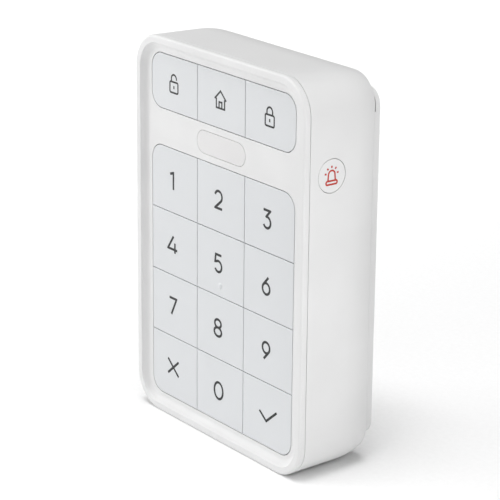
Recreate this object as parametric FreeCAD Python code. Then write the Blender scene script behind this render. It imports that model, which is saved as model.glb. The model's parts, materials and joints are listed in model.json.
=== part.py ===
import FreeCAD, Part
import math
import os
from FreeCAD import Vector

# Wall-mounted alarm keypad. Millimetres, +Z up, the keys face -Y, +X is to the right of someone
# who stands in front of it. The origin is the centre of the bracket's rear face, on the wall.

# ---- overall outline -------------------------------------------------------------------------
BODY_W = 80.0            # width of the housing
BODY_H = 116.0           # height of the housing
CORNER_R = 10.6          # corner radius of the housing, seen from the front
BRACKET_SIDE = 2.8       # how far the bracket stays inside the housing at each side
BRACKET_TOP = 6.1        # and below the housing's top
BRACKET_BOTTOM = 7.0     # and above its bottom
BRACKET_R = 5.0          # corner radius of the bracket

# ---- depth stack, from the wall forward ------------------------------------------------------
BRACKET_T = 2.1          # bracket, wall to the front of its rim
REAR_WALL = 1.9          # rear wall of the rear case, and the battery door
CELL_D = 14.5            # AA cell
CELL_L = 50.5
CELL_GAP = 0.2           # play round a cell
BAY_WALL = 1.0           # walls of the battery bay
BOARD_GAP = 0.3          # bay to circuit board
BOARD_T = 1.2            # circuit board
MAT_T = 0.7              # sheet of the silicone key mat
DOME_H = 0.55            # height of a dome above the sheet
KEY_TRAVEL = 0.6         # stroke of every key
STROKE_GAP = 0.05        # left when a key is fully down
STEM_TAIL = 0.15         # stem behind its barbs
BARB_T = 0.35            # thickness of a barb
FRAME_T = 0.8            # plate of the key frame
CAP_T = 1.5              # thickness of a key cap
CREST_H = 1.75           # how far the rim stands in front of the keys

# ---- front bezel -----------------------------------------------------------------------------
SIDE_WALL = 2.0          # side walls of the rear case
PANEL_T = 1.8            # panel between the keys
CREST_R = 0.7            # outer rounding of the rim
CREST_IN = 2.3           # inner edge of the flat crest, from the outline
SLOPE_IN = 4.6           # foot of the concave inner slope, from the outline
CREST_EDGE_R = 0.2       # softening of the crest's inner edge
OPENING_R = 0.12         # softening of the panel's edges round the keys and the window
SEAM_BACK = 0.25         # seam behind the key plane
SEAM_V = 0.08            # chamfer on each side of the seam
SEAM_GAP = 0.14          # open seam between the two shells
SKIRT_GAP = 0.2          # skirt of the bezel inside the rear case
SKIRT_T = 1.4
SKIRT_D = 1.9            # depth of the skirt behind the seam
ROOT = 0.3               # a boss, stem or tab starts this deep in the wall that it grows from
OVER = 1.0               # a cut reaches this far past the face that it opens
TOL = 1e-6

# ---- keys ------------------------------------------------------------------------------------
KEY_MARGIN_X = 6.1       # outline to key block, at the sides
KEY_MARGIN_Z = 5.4       # and at the top and bottom
MODE_H = 16.2            # height of the three mode keys
BAND_H = 11.4            # band with the status window, between the two blocks
BLOCK_R = 4.6            # outer corner radius of a key block
KEY_GAP = 0.22           # groove between keys and round the blocks
KEY_EDGE_R = 0.14        # rounding of a cap's front edges
STEM_W = 9.0             # stem of a key, along X
STEM_H = 7.0             # and along Z
STEM_GAP = 0.2           # stem to its window in the key frame
BARB_OUT = 0.65          # reach of a barb beyond the stem
BARB_W = 4.0
DOT_R = 1.0              # tactile dot on the middle key
DOT_H = 0.3
DOT_DROP = 6.4           # below the middle of its key

# ---- status window ---------------------------------------------------------------------------
WINDOW_W = 22.9
WINDOW_H = 6.7
WINDOW_GAP = 0.1
WINDOW_EDGE_R = 0.08
FLANGE = 0.9             # flange of the window behind the panel
FLANGE_T = 0.8
GUIDE_IN = 1.0           # light guide inside the window's outline
GUIDE_GAP = 0.1          # light guide to the LEDs
LED_SIZE = 1.6
LED_T = 0.6
LED_PITCH = 6.0

# ---- rear case -------------------------------------------------------------------------------
DRAFT = 1.2              # degrees, side walls
ROUND_START = 15.4       # where the rear rounding starts, behind the key plane
SWEEP_R = 27.0           # long sweep of the rear rounding
EDGE_R = 1.35            # its tight end at the rear face

# ---- module behind the keys ------------------------------------------------------------------
FRAME_IN = 4.1           # outline of the key frame
RAIL_T = 0.9             # rail round the key frame
MAT_IN = 4.3             # outline of the mat and the board
CLIP_W = 6.0             # clips that hold the board to the key frame
CLIP_REACH = 0.6
CLIP_T = 0.6
CLIP_GAP = 0.15          # clip to its notch in the mat and the board
DOME_R1, DOME_R2 = 3.6, 2.7
PILL_R = 1.75            # carbon contact pills
PILL_T = 0.3
DOME_SKIN = 0.35

# ---- snaps and screws that close the case ----------------------------------------------------
SNAP_W = 7.0
SNAP_T = 1.2
SNAP_L = 6.4             # snap leg behind the skirt
SNAP_HEAD = 1.2
SNAP_OUT = 0.6
SNAP_PLAY = 0.2
SNAP_IN = 2.0            # snaps of the top and bottom, inside the middle of each half
SCREW_X = 15.0           # case screws, from the housing's side
SCREW_R = 1.2
SCREW_L = 12.0
HEAD_R = 2.4
HEAD_T = 1.6
HEAD_DEEP = 1.3          # head below the rear face
HEAD_EDGE_R = 0.5
DRIVE_REACH = 1.4        # cross recess, from its middle
DRIVE_HALF = 0.3         # half the width of its slots
DRIVE_DEEP = 0.9
POST_R = 3.7
BOSS_R = 2.6
BOSS_END = 14.0          # where boss and post meet, in front of the wall
THREAD_GAP = 0.05
THREAD_START = 2.0       # pilot hole behind the panel
HOLE_GAP = 0.3

# ---- battery bay -----------------------------------------------------------------------------
CELL_SPACE = 0.6         # between the two cells
CONTACT_ROOM = 3.0       # at each end of the cells
BAY_Z = 11.5             # bay above the housing's bottom
DOOR_OVER = 1.4          # door beyond the bay, at the sides and the top
DOOR_GAP = 0.25
DOOR_FIT = 0.1           # door to the ledge behind it
DOOR_TRAVEL = 6.0
LEDGE_T = 0.9
LEDGE_OVER = 2.0
TAB_L = 7.0              # tabs of the door under the rear wall
TAB_OUT = 1.2
TAB_T = 0.9
TAB_IN = 8.0             # tabs from the ends of the bay
GRIP_PITCH = 2.0
GRIP_COUNT = 4
GRIP_W = 14.0
GRIP_R = 0.5             # grip groove
GRIP_LIFT = 0.2          # its axis outside the face
NUB_R = 2.75             # positive end of a cell
NUB_L = 1.2
CELL_EDGE_R = 0.6
PLATE_T = 0.4            # sheet of the battery contacts
PLATE_IN = 1.5           # a contact inside the cell's outline
LEAF_HALF = 2.0          # half the width of the bent leaf
LEAF_BACK, LEAF_FRONT = 4.0, 2.5
STUD_R = 1.6
STUD_GAP = 0.05          # stud to the end of the cell

# ---- wall bracket ----------------------------------------------------------------------------
FLOOR_T = 1.2
RIM_W = 1.8
TOP_STEP = 0.6           # rim cut back along the top
TOP_STEP_L = 6.6         # how far down the sides that goes
HOOK_W = 8.0
HOOK_STEM = 2.2
HOOK_TIP = 4.0           # tip above the stem
HOOK_T = 1.6
HOOK_TOP = 11.0          # upper hooks below the bracket's top
HOOK_BOTTOM = 14.0       # lower hooks above the bracket's bottom
HOOK_PLAY = 0.25
HOOK_LEAD = 0.5          # chamfer of the tip
HOOK_UNDER = 0.1         # stem to the lower edge of its slot
LIFT = 4.5               # housing lifts this far off the hooks
WALL_HOLE_SPACING = 60.0
WALL_HOLE_R = 2.2
SINK_R = 3.3             # countersink
RING_T = 1.2             # ring round a countersink
RING_LOW = 0.3           # ring behind the rim's front
BRACKET_EDGE_R = 0.3
PAD_W, PAD_H = 44.0, 11.0
PAD_R = 1.5
PAD_IN = 1.5             # pad to the rim
PAD_SINK = 0.6
PAD_GAP = 0.3

# ---- side button and tamper contact ----------------------------------------------------------
BUTTON_R = 4.75
BUTTON_GAP = 0.15
BUTTON_BACK = 8.0        # axis behind the key plane
BUTTON_EDGE_R = 0.16
BUTTON_FLANGE = 0.85
BUTTON_FLANGE_T = 0.8
BUTTON_FLANGE_GAP = 0.15  # flange to the side wall
BUTTON_STEM_R = 1.1
BUTTON_STEM_L = 2.0
BUTTON_TRAVEL = 0.6
SWITCH_L, SWITCH_W, SWITCH_T = 4.0, 6.0, 3.0
SWITCH_TIP = 0.6         # actuator of the side switch
TIP_R = 1.5              # actuator of the tamper switch
TIP_T = 0.5
PLUNGER_R = 1.5
PLUNGER_GAP = 0.25
PLUNGER_X = -10.0
PLUNGER_TOP = 20.5       # below the housing's top
PLUNGER_TRAVEL = 0.6
GUIDE_TUBE_T = 1.3
COLLAR_R = 2.5
COLLAR_T = 0.8
COLLAR_GAP = 0.2         # collar to the guide tube
PLUNGER_REST = 0.1       # plunger to the bracket's floor
PLUNGER_EDGE_R = 0.6

# ---- electronics on the board ----------------------------------------------------------------
SHIELD = (18.0, 15.0, 2.4)
SHIELD_TOP = 18.0
SHIELD_SIDE = 1.4        # can to the screw boss beside it
SHIELD_EDGE_R = 0.4
CHIP = (7.0, 7.0, 0.9)
CHIP_TOP = 34.0
BUZZER_R, BUZZER_T = 6.0, 3.2
BUZZER_Z = 8.0           # below the top of the bay
BUZZER_PORT_R, BUZZER_PORT_T = 1.0, 1.0
ANTENNA = (26.0, 4.0, 0.4)
ANTENNA_TOP = 8.0
ANTENNA_SIDE = 6.0       # strip to the rail of the key frame
ANTENNA_LEG = 3.0
ANTENNA_FOOT = 2.0       # width of a leg

# ---- derived places --------------------------------------------------------------------------
HALF_W = BODY_W / 2
HALF_H = BODY_H / 2
BODY_Z = (BRACKET_TOP - BRACKET_BOTTOM) / 2          # middle of the housing
TOP_Z = BODY_Z + HALF_H
BOTTOM_Z = BODY_Z - HALF_H
BR_HALF_W = HALF_W - BRACKET_SIDE
BR_HALF_H = HALF_H - (BRACKET_TOP + BRACKET_BOTTOM) / 2

Y_REAR = -BRACKET_T
Y_DOOR = Y_REAR - REAR_WALL
Y_CELL = Y_DOOR - CELL_GAP - CELL_D / 2
Y_BAY = Y_DOOR - 2 * CELL_GAP - CELL_D               # floor of the bay
Y_BOARD_R = Y_BAY - BAY_WALL - BOARD_GAP
Y_BOARD_F = Y_BOARD_R - BOARD_T
Y_MAT_F = Y_BOARD_F - MAT_T
Y_DOME = Y_MAT_F - DOME_H
Y_STEM = Y_DOME - KEY_TRAVEL - STROKE_GAP
Y_FRAME_R = Y_STEM - STEM_TAIL - BARB_T
Y_FRAME_F = Y_FRAME_R - FRAME_T
Y_CAP = Y_FRAME_F - KEY_TRAVEL - STROKE_GAP
Y_KEY = Y_CAP - CAP_T                                # key plane, also the panel's face
Y_CREST = Y_KEY - CREST_H
Y_PANEL = Y_KEY + PANEL_T
Y_SEAM = Y_KEY + SEAM_BACK
Y_SKIRT = Y_SEAM + SKIRT_D
Y_RIM = Y_SEAM + SEAM_GAP                            # front edge of the rear case

PITCH_X = (BODY_W - 2 * KEY_MARGIN_X) / 3
MODE_TOP = TOP_Z - KEY_MARGIN_Z
MODE_BOTTOM = MODE_TOP - MODE_H
BAND_Z = MODE_BOTTOM - BAND_H / 2
PAD_TOP = MODE_BOTTOM - BAND_H
PAD_BOTTOM = BOTTOM_Z + KEY_MARGIN_Z
PITCH_Z = (PAD_TOP - PAD_BOTTOM) / 4

BAY_HALF = CELL_D + CELL_SPACE / 2 + CELL_GAP
BAY_BOTTOM = BOTTOM_Z + BAY_Z
BAY_TOP = BAY_BOTTOM + CELL_L + 2 * CONTACT_ROOM
CELL_X = (CELL_D + CELL_SPACE) / 2
CELL_BOTTOM = BAY_BOTTOM + CONTACT_ROOM
DOOR_HALF = BAY_HALF + BAY_WALL + DOOR_OVER
DOOR_TOP = BAY_TOP + BAY_WALL + DOOR_OVER
TAB_Z = [BAY_BOTTOM + TAB_IN, BAY_TOP - TAB_IN - TAB_L]

POST_X = HALF_W - SCREW_X
BUTTON_Y = Y_KEY + BUTTON_BACK
PLUNGER_Z = TOP_Z - PLUNGER_TOP
SHIELD_X = POST_X - BOSS_R - SHIELD_SIDE - SHIELD[0] / 2
ANTENNA_X = -(HALF_W - FRAME_IN - RAIL_T - ANTENNA_SIDE - ANTENNA[0] / 2)

KEY_NAMES = [["key_1", "key_2", "key_3"], ["key_4", "key_5", "key_6"],
             ["key_7", "key_8", "key_9"], ["key_cancel", "key_0", "key_confirm"]]
MODE_NAMES = ["key_unlock", "key_home", "key_lock"]


# ---- shape helpers ---------------------------------------------------------------------------
def box(x0, x1, y0, y1, z0, z1):
    """Block between two corners, given low and high along each axis."""
    return Part.makeBox(x1 - x0, y1 - y0, z1 - z0, Vector(x0, y0, z0))


def rod(radius, start, end):
    """Cylinder between two points."""
    return Part.makeCylinder(radius, (end - start).Length, start, end - start)


def rounded_slab(half_w, half_h, radius, mid_z, y0, y1, mid_x=0.0):
    """Upright plate with rounded corners, between two depths."""
    plate = box(mid_x - half_w, mid_x + half_w, y0, y1, mid_z - half_h, mid_z + half_h)
    upright = [e for e in plate.Edges
               if abs(e.Vertexes[0].Point.y - e.Vertexes[1].Point.y) > (y1 - y0) / 2]
    return plate.makeFillet(radius, upright)


def inset_slab(inset, y0, y1):
    """Plate that follows the housing's outline at an inset."""
    return rounded_slab(HALF_W - inset, HALF_H - inset, CORNER_R - inset, BODY_Z, y0, y1)


def pill_slab(width, height, mid_z, y0, y1):
    """Plate with fully round ends, the ends left and right."""
    reach = (width - height) / 2
    middle = box(-reach, reach, y0, y1, mid_z - height / 2, mid_z + height / 2)
    ends = [rod(height / 2, Vector(x, y0, mid_z), Vector(x, y1, mid_z)) for x in (-reach, reach)]
    return middle.fuse(ends).removeSplitter()


def profile_face(segments, place):
    """Face of a cross-section. A segment is two points, or three for an arc, in (inset, y)."""
    edges = []
    for points in segments:
        spots = [place(*p) for p in points]
        if len(spots) == 3:
            edges.append(Part.Arc(*spots).toShape())
        else:
            edges.append(Part.makeLine(*spots))
    return Part.Face(Part.Wire(edges))


def swept_round(segments, y0, y1):
    """Solid whose cross-section is the same all round the housing's outline.

    The section reaches from the outline to an inset of CORNER_R, where its depths are y0 and y1.
    """
    reach_x = HALF_W - CORNER_R
    reach_z = HALF_H - CORNER_R
    side = profile_face(segments, lambda n, y: Vector(HALF_W - n, y, BODY_Z))
    head = profile_face(segments, lambda n, y: Vector(0, y, BODY_Z + HALF_H - n))
    high = side.copy()
    high.translate(Vector(0, 0, reach_z))
    corner = high.revolve(Vector(reach_x, 0, BODY_Z + reach_z), Vector(0, -1, 0), 90)
    quarter = [side.extrude(Vector(0, 0, reach_z)), head.extrude(Vector(reach_x, 0, 0)), corner]
    middle = Vector(0, 0, BODY_Z)
    right = quarter + [s.mirror(middle, Vector(0, 0, 1)) for s in quarter]
    both = right + [s.mirror(middle, Vector(1, 0, 0)) for s in right]
    core = box(-reach_x, reach_x, y0, y1, BODY_Z - reach_z, BODY_Z + reach_z)
    return core.fuse(both).removeSplitter()


def polyline(points):
    """Straight segments through points, closed."""
    return [(points[i - 1], points[i]) for i in range(1, len(points))] + [(points[-1], points[0])]


def arc_mid(centre, radius, angle):
    """Point on a circle in (inset, y); angle 0 points along +inset, 90 towards the wall."""
    a = math.radians(angle)
    return (centre[0] + radius * math.cos(a), centre[1] + radius * math.sin(a))


def compound(solids):
    return Part.makeCompound(solids)


# ---- housing ---------------------------------------------------------------------------------
def rear_profile():
    """Outer cross-section of the rear case: draft, long sweep, tight edge, rear face."""
    y_start = Y_KEY + ROUND_START
    draft = math.radians(DRAFT)
    n_start = (y_start - Y_SEAM) * math.tan(draft)
    turn = (Y_REAR - y_start + SWEEP_R * math.sin(draft) - EDGE_R) / (SWEEP_R - EDGE_R)
    end = math.asin(turn)
    centre = (n_start + SWEEP_R * math.cos(draft), y_start - SWEEP_R * math.sin(draft))
    middle = (draft + end) / 2

    def on_sweep(angle):
        return (centre[0] - SWEEP_R * math.cos(angle), centre[1] + SWEEP_R * math.sin(angle))

    joint = on_sweep(end)
    tight = (joint[0] + EDGE_R * math.cos(end), joint[1] - EDGE_R * math.sin(end))
    half = (end + math.pi / 2) / 2
    tight_mid = (tight[0] - EDGE_R * math.cos(half), tight[1] + EDGE_R * math.sin(half))
    start = (n_start, y_start)
    rear = (tight[0], Y_REAR)
    return start, on_sweep(middle), joint, tight_mid, rear


def housing_outside():
    """The whole rear part of the housing as a filled solid, rim to rear face."""
    start, mid, joint, tight_mid, rear = rear_profile()
    lip = (SEAM_V, Y_RIM)
    segments = [(lip, (0, Y_RIM + SEAM_V)), ((0, Y_RIM + SEAM_V), start), (start, mid, joint),
                (joint, tight_mid, rear), (rear, (CORNER_R, Y_REAR)),
                ((CORNER_R, Y_REAR), (CORNER_R, Y_RIM)), ((CORNER_R, Y_RIM), lip)]
    return swept_round(segments, Y_RIM, Y_REAR)


def housing_inside():
    """Hollow of the rear case, one wall inside its outer face."""
    start, _, joint, _, _ = rear_profile()
    front = Y_SEAM - OVER
    points = [(SIDE_WALL, front), (SIDE_WALL + start[0], start[1]),
              (SIDE_WALL + joint[0], Y_DOOR), (CORNER_R, Y_DOOR), (CORNER_R, front)]
    return swept_round(polyline(points), front, Y_DOOR)


def hook_places():
    """Foot of each hook of the bracket, between the battery door's ledge and the side wall."""
    _, _, joint, _, _ = rear_profile()
    wall_in = HALF_W - SIDE_WALL - joint[0]
    x = (DOOR_HALF + LEDGE_OVER + wall_in) / 2
    return [(side * x, z) for side in (-1, 1)
            for z in (BR_HALF_H - HOOK_TOP, -BR_HALF_H + HOOK_BOTTOM)]


def snap_places():
    """Each snap as (name of the side, distance along it)."""
    along_x = HALF_W / 2 - SNAP_IN
    sides = [("top", -along_x), ("top", along_x), ("bottom", -along_x), ("bottom", along_x)]
    for side in ("left", "right"):
        sides += [(side, BODY_Z - HALF_H / 2), (side, BODY_Z)]
    return sides


def edge_block(side, along, width, inset0, inset1, y0, y1):
    """Block on one side of the housing, between two insets."""
    lo, hi = along - width / 2, along + width / 2
    if side == "top":
        return box(lo, hi, y0, y1, TOP_Z - inset1, TOP_Z - inset0)
    if side == "bottom":
        return box(lo, hi, y0, y1, BOTTOM_Z + inset0, BOTTOM_Z + inset1)
    if side == "left":
        return box(-HALF_W + inset0, -HALF_W + inset1, y0, y1, lo, hi)
    return box(HALF_W - inset1, HALF_W - inset0, y0, y1, lo, hi)


def case_posts():
    return [Vector(sx * POST_X, 0, BAND_Z) for sx in (-1, 1)]


def at_depth(spot, y):
    return Vector(spot.x, y, spot.z)


def front_bezel():
    """Rim with a flat crest and a concave inner slope, and the panel that frames the keys."""
    skirt_out = SIDE_WALL + SKIRT_GAP
    skirt_in = skirt_out + SKIRT_T
    run = SLOPE_IN - CREST_IN
    slope_r = (run ** 2 + CREST_H ** 2) / (2 * CREST_H)
    centre = (SLOPE_IN, Y_KEY - slope_r)
    opening = math.degrees(math.asin(run / slope_r))
    slope_mid = arc_mid(centre, slope_r, 90 + opening / 2)
    crest_mid = arc_mid((CREST_R, Y_CREST + CREST_R), CREST_R, 225)
    segments = [((SEAM_V, Y_SEAM), (0, Y_SEAM - SEAM_V)),
                ((0, Y_SEAM - SEAM_V), (0, Y_CREST + CREST_R)),
                ((0, Y_CREST + CREST_R), crest_mid, (CREST_R, Y_CREST)),
                ((CREST_R, Y_CREST), (CREST_IN, Y_CREST)),
                ((CREST_IN, Y_CREST), slope_mid, (SLOPE_IN, Y_KEY)),
                ((SLOPE_IN, Y_KEY), (CORNER_R, Y_KEY)),
                ((CORNER_R, Y_KEY), (CORNER_R, Y_PANEL)),
                ((CORNER_R, Y_PANEL), (skirt_in, Y_PANEL)),
                ((skirt_in, Y_PANEL), (skirt_in, Y_SKIRT)),
                ((skirt_in, Y_SKIRT), (skirt_out, Y_SKIRT)),
                ((skirt_out, Y_SKIRT), (skirt_out, Y_SEAM)),
                ((skirt_out, Y_SEAM), (SEAM_V, Y_SEAM))]
    bezel = swept_round(segments, Y_KEY, Y_PANEL)
    crest_edges = [e for e in bezel.Edges if on_crest_edge(e)]
    bezel = bezel.makeFillet(CREST_EDGE_R, crest_edges)

    width = HALF_W - KEY_MARGIN_X + KEY_GAP
    front, rear = Y_KEY - OVER, Y_PANEL + OVER
    openings = [pill_slab(WINDOW_W + 2 * WINDOW_GAP, WINDOW_H + 2 * WINDOW_GAP, BAND_Z, front, rear)]
    for low, high in ((PAD_BOTTOM, PAD_TOP), (MODE_BOTTOM, MODE_TOP)):
        openings.append(rounded_slab(width, (high - low) / 2 + KEY_GAP, BLOCK_R + KEY_GAP,
                                     (high + low) / 2, front, rear))
    bezel = bezel.cut(openings)
    bezel = bezel.makeFillet(OPENING_R, [e for e in bezel.Edges if on_opening_edge(e)])

    legs = []
    leg_end = Y_SKIRT + SNAP_L
    leg_in = skirt_out + SNAP_PLAY
    for side, along in snap_places():
        legs.append(edge_block(side, along, SNAP_W, leg_in, leg_in + SNAP_T, Y_SKIRT - ROOT, leg_end))
        legs.append(edge_block(side, along, SNAP_W, leg_in - SNAP_OUT, leg_in,
                               leg_end - SNAP_HEAD, leg_end))
    bosses = [rod(BOSS_R, at_depth(p, Y_PANEL - ROOT), at_depth(p, -BOSS_END))
              for p in case_posts()]
    bezel = bezel.fuse(legs + bosses)
    threads = [rod(SCREW_R + THREAD_GAP, at_depth(p, Y_PANEL + THREAD_START), at_depth(p, -BOSS_END))
               for p in case_posts()]
    return bezel.cut(threads).removeSplitter()


def lies_at_depth(edge, y):
    """True for an edge that lies in the upright plane at one depth."""
    middle = edge.valueAt((edge.FirstParameter + edge.LastParameter) / 2)
    return abs(middle.y - y) < TOL and all(abs(v.Point.y - y) < TOL for v in edge.Vertexes)


def edge_inset(edge):
    """How far the middle of an edge lies inside the housing's outline."""
    middle = edge.valueAt((edge.FirstParameter + edge.LastParameter) / 2)
    outer = max(abs(middle.x) - (HALF_W - CORNER_R), 0)
    upper = max(abs(middle.z - BODY_Z) - (HALF_H - CORNER_R), 0)
    return CORNER_R - math.hypot(outer, upper)


def on_crest_edge(edge):
    """True for the loop where the flat crest meets the inner slope."""
    return lies_at_depth(edge, Y_CREST) and abs(edge_inset(edge) - CREST_IN) < SEAM_V


def on_opening_edge(edge):
    """True for the panel's front edges round the keys and the window."""
    return lies_at_depth(edge, Y_KEY) and edge_inset(edge) > SLOPE_IN + SEAM_V


def door_space(gap):
    """Block that the battery door fills in the rear wall."""
    return box(-DOOR_HALF - gap, DOOR_HALF + gap, Y_DOOR, Y_REAR + OVER,
               BOTTOM_Z - OVER, DOOR_TOP + gap)


def door_tab(side, z, out, gap, reach_down, y1):
    """A tab of the door, or with gaps the space that it slides in."""
    x0, x1 = DOOR_HALF - ROOT, DOOR_HALF + out
    lo, hi = (x0, x1) if side > 0 else (-x1, -x0)
    return box(lo, hi, Y_DOOR, y1, z - reach_down - gap, z + TAB_L + gap)


def rear_case():
    """Deep shell with the battery bay, screw posts, hook slots and the openings of its buttons."""
    case = housing_outside().cut(housing_inside())
    bay = box(-BAY_HALF - BAY_WALL, BAY_HALF + BAY_WALL, Y_BAY - BAY_WALL, Y_DOOR,
              BAY_BOTTOM - BAY_WALL, BAY_TOP + BAY_WALL)
    ledge = box(-DOOR_HALF - LEDGE_OVER, DOOR_HALF + LEDGE_OVER, Y_DOOR - DOOR_FIT - LEDGE_T,
                Y_DOOR - DOOR_FIT, BOTTOM_Z + SIDE_WALL, DOOR_TOP + LEDGE_OVER)
    posts = [rod(POST_R, at_depth(p, Y_DOOR), at_depth(p, -BOSS_END)) for p in case_posts()]
    tube_end = Y_BOARD_R + SWITCH_T + 2 * STROKE_GAP + PLUNGER_TRAVEL + COLLAR_T + COLLAR_GAP
    plunger = Vector(PLUNGER_X, 0, PLUNGER_Z)
    tube_r = PLUNGER_R + PLUNGER_GAP + GUIDE_TUBE_T
    posts.append(rod(tube_r, at_depth(plunger, tube_end), at_depth(plunger, Y_DOOR)))
    case = case.fuse([bay, ledge] + posts)

    outside = Y_REAR + OVER
    cuts = [box(-BAY_HALF, BAY_HALF, Y_BAY, outside, BAY_BOTTOM, BAY_TOP)]
    cuts.append(box(-DOOR_HALF - DOOR_GAP, DOOR_HALF + DOOR_GAP, Y_DOOR - DOOR_FIT, outside,
                    BOTTOM_Z - OVER, DOOR_TOP + DOOR_GAP))
    for side in (-1, 1):
        for z in TAB_Z:
            cuts.append(door_tab(side, z, TAB_OUT + DOOR_GAP, DOOR_GAP, DOOR_TRAVEL,
                                 Y_DOOR + TAB_T + DOOR_FIT))
            cuts.append(door_tab(side, z - DOOR_TRAVEL, TAB_OUT + DOOR_GAP, DOOR_GAP, 0, outside))
    for p in case_posts():
        head = Y_REAR - HEAD_DEEP - HEAD_T
        cuts.append(rod(HEAD_R + HOLE_GAP, at_depth(p, head), at_depth(p, outside)))
        cuts.append(rod(SCREW_R + HOLE_GAP, at_depth(p, -BOSS_END - OVER), at_depth(p, Y_REAR)))
    cuts.append(rod(PLUNGER_R + PLUNGER_GAP, at_depth(plunger, tube_end - OVER),
                    at_depth(plunger, outside)))
    for x, z in hook_places():
        half = HOOK_W / 2 + HOOK_PLAY
        cuts.append(box(x - half, x + half, Y_DOOR - OVER, outside,
                        z - LIFT - 2 * HOOK_PLAY, z + HOOK_STEM))
    cuts.append(rod(BUTTON_R + BUTTON_GAP, on_button_axis(HALF_W - 2 * SIDE_WALL - OVER),
                    on_button_axis(HALF_W + OVER)))
    leg_end = Y_SKIRT + SNAP_L
    for side, along in snap_places():
        cuts.append(edge_block(side, along, SNAP_W + 4 * SNAP_PLAY,
                               SIDE_WALL + SKIRT_GAP - SNAP_OUT,
                               SIDE_WALL + SKIRT_GAP + SNAP_PLAY,
                               leg_end - SNAP_HEAD - SNAP_PLAY, leg_end + SNAP_PLAY))
    return case.cut(cuts).removeSplitter()


def battery_door():
    """Part of the rear wall that slides down, with grip grooves and four tabs."""
    door = housing_outside().common(door_space(0))
    tabs = [door_tab(side, z, TAB_OUT, 0, 0, Y_DOOR + TAB_T) for side in (-1, 1) for z in TAB_Z]
    door = door.fuse(tabs)
    axis_y = Y_REAR + GRIP_LIFT
    heights = [BAY_BOTTOM + i * GRIP_PITCH for i in range(GRIP_COUNT)]
    grooves = [rod(GRIP_R, Vector(-GRIP_W / 2, axis_y, z), Vector(GRIP_W / 2, axis_y, z))
               for z in heights]
    return door.cut(grooves).removeSplitter()


def case_screws():
    solids = []
    for p in case_posts():
        seat = Y_REAR - HEAD_DEEP - HEAD_T
        head = rod(HEAD_R, at_depth(p, seat), at_depth(p, seat + HEAD_T))
        top = seat + HEAD_T
        head = head.makeFillet(HEAD_EDGE_R, [e for e in head.Edges if lies_at_depth(e, top)])
        shank = rod(SCREW_R, at_depth(p, seat - SCREW_L), at_depth(p, seat))
        slots = [box(p.x - half_x, p.x + half_x, top - DRIVE_DEEP, top, p.z - half_z, p.z + half_z)
                 for half_x, half_z in ((DRIVE_REACH, DRIVE_HALF), (DRIVE_HALF, DRIVE_REACH))]
        solids.append(head.fuse(shank).cut(slots).removeSplitter())
    return compound(solids)


# ---- keys and the module behind them ---------------------------------------------------------
def key_cells():
    """Name, middle and size of every key, with the low and high z of its block."""
    cells = []
    for i, name in enumerate(MODE_NAMES):
        cells.append((name, (i - 1) * PITCH_X, (MODE_TOP + MODE_BOTTOM) / 2, MODE_H,
                      MODE_BOTTOM, MODE_TOP))
    for row, names in enumerate(KEY_NAMES):
        for i, name in enumerate(names):
            cells.append((name, (i - 1) * PITCH_X, PAD_TOP - (row + 0.5) * PITCH_Z, PITCH_Z,
                          PAD_BOTTOM, PAD_TOP))
    return cells


def cut_back(low, high, block_low, block_high):
    """Span of a cap: half a groove short of its cell, except at the ends of the block."""
    groove = KEY_GAP / 2
    return (block_low if low - block_low < groove else low + groove,
            block_high if block_high - high < groove else high - groove)


def key(name, x, z, height, block_low, block_high):
    """Cap cut out of its block, a stem through the key frame, and two barbs behind the frame."""
    half_block = HALF_W - KEY_MARGIN_X
    block = rounded_slab(half_block, (block_high - block_low) / 2, BLOCK_R,
                         (block_high + block_low) / 2, Y_KEY, Y_CAP)
    x0, x1 = cut_back(x - PITCH_X / 2, x + PITCH_X / 2, -half_block, half_block)
    z0, z1 = cut_back(z - height / 2, z + height / 2, block_low, block_high)
    cap = block.common(box(x0, x1, Y_KEY, Y_CAP, z0, z1)).removeSplitter().Solids[0]
    cap = cap.makeFillet(KEY_EDGE_R, [e for e in cap.Edges if lies_at_depth(e, Y_KEY)])
    stem = box(x - STEM_W / 2, x + STEM_W / 2, Y_CAP - ROOT, Y_STEM, z - STEM_H / 2, z + STEM_H / 2)
    reach = STEM_W / 2 + BARB_OUT
    barbs = box(x - reach, x + reach, Y_FRAME_R, Y_FRAME_R + BARB_T, z - BARB_W / 2, z + BARB_W / 2)
    solid = cap.fuse([stem, barbs])
    if name == "key_5":
        ball_r = (DOT_R ** 2 + DOT_H ** 2) / (2 * DOT_H)
        ball = Part.makeSphere(ball_r, Vector(x, Y_KEY - DOT_H + ball_r, z - DOT_DROP))
        dot = ball.common(box(x - DOT_R, x + DOT_R, Y_KEY - OVER, Y_KEY + ROOT,
                              z - DOT_DROP - DOT_R, z - DOT_DROP + DOT_R))
        solid = solid.fuse(dot)
    return solid.removeSplitter()


def clip_places():
    """Each clip as (name of the side, distance along it)."""
    places = [("top", 0), ("bottom", 0)]
    for side in ("left", "right"):
        places += [(side, BODY_Z - HALF_H / 4), (side, BAND_Z + MODE_H)]
    return places


def boss_holes(y0, y1):
    """Cuts through a layer, where the screw bosses of the bezel pass."""
    return [rod(BOSS_R + HOLE_GAP, at_depth(p, y0 - OVER), at_depth(p, y1 + OVER))
            for p in case_posts()]


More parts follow.
